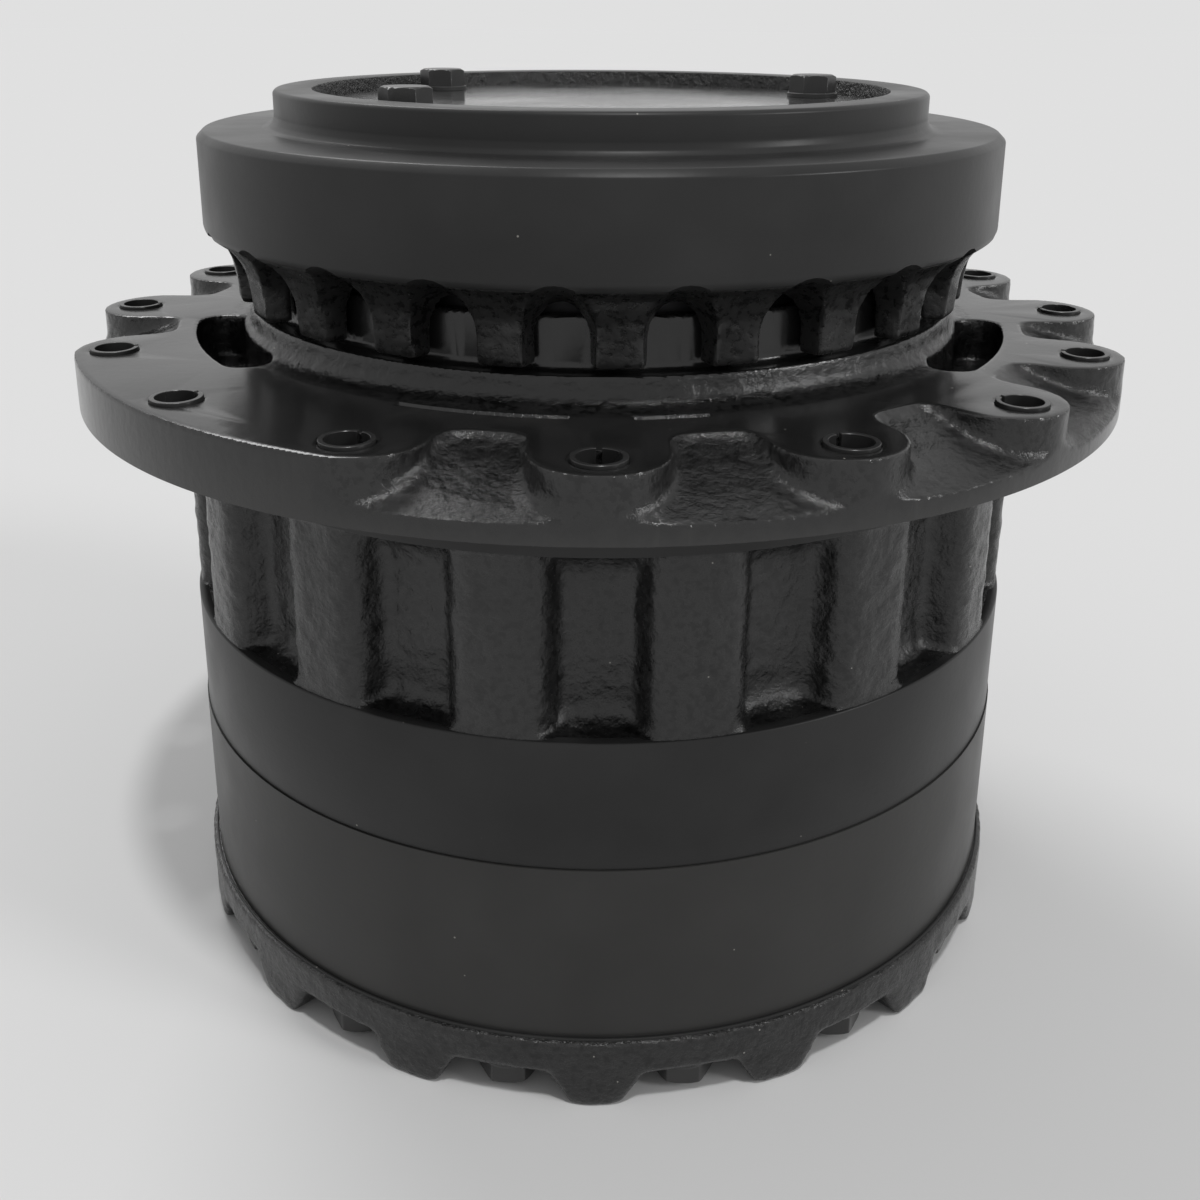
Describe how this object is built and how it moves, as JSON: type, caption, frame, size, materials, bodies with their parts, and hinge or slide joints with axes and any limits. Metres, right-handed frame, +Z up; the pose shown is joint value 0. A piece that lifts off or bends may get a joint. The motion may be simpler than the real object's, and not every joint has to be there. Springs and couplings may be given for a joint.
{
  "type": "excavator travel gearbox",
  "caption": "Planetary travel gearbox of a large excavator: a fluted drum with a scalloped sprocket flange turns on a fixed hub with a toothed mud skirt and a frame spigot.",
  "frame": {"origin": "on the axis, at the plane of the end cover's lugs that the part stands on", "axes": "+Z up along the axis of rotation, from the end cover to the frame spigot; -Y faces the camera of the picture"},
  "size_m": [0.7299, 0.73, 0.602],
  "materials": {
    "black_cast_paint": "satin black paint on sand-cast iron",
    "black_machined_paint": "satin black paint on turned steel",
    "black_bolt_steel": "satin black paint on forged steel",
    "gear_steel": "ground tooth flanks, oiled",
    "carrier_iron": "bare machined ductile iron",
    "bearing_steel": "ground and polished",
    "seal_steel": "lapped",
    "seal_rubber": "matt",
    "wear_bronze": "machined"
  },
  "bodies": {
    "hub": {"hub_spindle": "black_cast_paint", "motor_plate": "black_machined_paint", "motor_plate_bolts": "black_bolt_steel", "main_bearing_inner_rings": "bearing_steel", "fixed_seal_ring": "seal_steel", "output_carrier": "carrier_iron", "carrier_screws": "black_bolt_steel", "output_planet_pins": "bearing_steel", "input_shaft_seal": "seal_rubber"},
    "housing": {"drum": "black_cast_paint", "flange_sleeves": "black_bolt_steel", "ring_gear": "black_machined_paint", "end_cover": "black_cast_paint", "cover_bolts": "black_bolt_steel", "cover_plugs": "black_bolt_steel", "thrust_disc": "wear_bronze", "main_bearing_outer_rings": "bearing_steel", "turning_seal_ring": "seal_steel"},
    "roller_sets": {"main_bearing_roller_sets": "bearing_steel"},
    "first_carrier": {"first_carrier": "carrier_iron", "output_sun": "gear_steel", "first_planet_pins": "bearing_steel"},
    "output_planet_1": {"output_planet_1": "gear_steel"},
    "output_planet_2": {"output_planet_2": "gear_steel"},
    "output_planet_3": {"output_planet_3": "gear_steel"},
    "first_planet_1": {"first_planet_1": "gear_steel"},
    "first_planet_2": {"first_planet_2": "gear_steel"},
    "first_planet_3": {"first_planet_3": "gear_steel"},
    "input_shaft": {"input_shaft": "gear_steel"}
  },
  "joints": [
    {"name": "housing_spin", "type": "hinge", "parent": "hub", "child": "housing", "pos_m": [0, 0, 0.3], "axis": [0, 0, 1], "continuous": true},
    {"name": "roller_set_spin", "type": "hinge", "parent": "hub", "child": "roller_sets", "pos_m": [0, 0, 0.3], "axis": [0, 0, 1], "continuous": true},
    {"name": "first_carrier_spin", "type": "hinge", "parent": "hub", "child": "first_carrier", "pos_m": [0, 0, 0.1], "axis": [0, 0, 1], "continuous": true},
    {"name": "output_planet_1_spin", "type": "hinge", "parent": "hub", "child": "output_planet_1", "pos_m": [0, 0.156, 0.142], "axis": [0, 0, 1], "continuous": true},
    {"name": "output_planet_2_spin", "type": "hinge", "parent": "hub", "child": "output_planet_2", "pos_m": [-0.1351, -0.078, 0.142], "axis": [0, 0, 1], "continuous": true},
    {"name": "output_planet_3_spin", "type": "hinge", "parent": "hub", "child": "output_planet_3", "pos_m": [0.1351, -0.078, 0.142], "axis": [0, 0, 1], "continuous": true},
    {"name": "first_planet_1_spin", "type": "hinge", "parent": "first_carrier", "child": "first_planet_1", "pos_m": [0, -0.144, 0.071], "axis": [0, 0, 1], "continuous": true},
    {"name": "first_planet_2_spin", "type": "hinge", "parent": "first_carrier", "child": "first_planet_2", "pos_m": [0.12471, 0.072, 0.071], "axis": [0, 0, 1], "continuous": true},
    {"name": "first_planet_3_spin", "type": "hinge", "parent": "first_carrier", "child": "first_planet_3", "pos_m": [-0.12471, 0.072, 0.071], "axis": [0, 0, 1], "continuous": true},
    {"name": "input_shaft_spin", "type": "hinge", "parent": "hub", "child": "input_shaft", "pos_m": [0, 0, 0.2], "axis": [0, 0, 1], "continuous": true}
  ],
  "couplings": [
    {"joint": "roller_set_spin", "follows": "housing_spin", "ratio": 0.525},
    {"joint": "first_carrier_spin", "follows": "housing_spin", "ratio": -3.3333},
    {"joint": "output_planet_1_spin", "follows": "housing_spin", "ratio": 2.8571},
    {"joint": "output_planet_2_spin", "follows": "housing_spin", "ratio": 2.8571},
    {"joint": "output_planet_3_spin", "follows": "housing_spin", "ratio": 2.8571},
    {"joint": "first_planet_1_spin", "follows": "housing_spin", "ratio": 10.833},
    {"joint": "first_planet_2_spin", "follows": "housing_spin", "ratio": 10.833},
    {"joint": "first_planet_3_spin", "follows": "housing_spin", "ratio": 10.833},
    {"joint": "input_shaft_spin", "follows": "housing_spin", "ratio": -25}
  ]
}
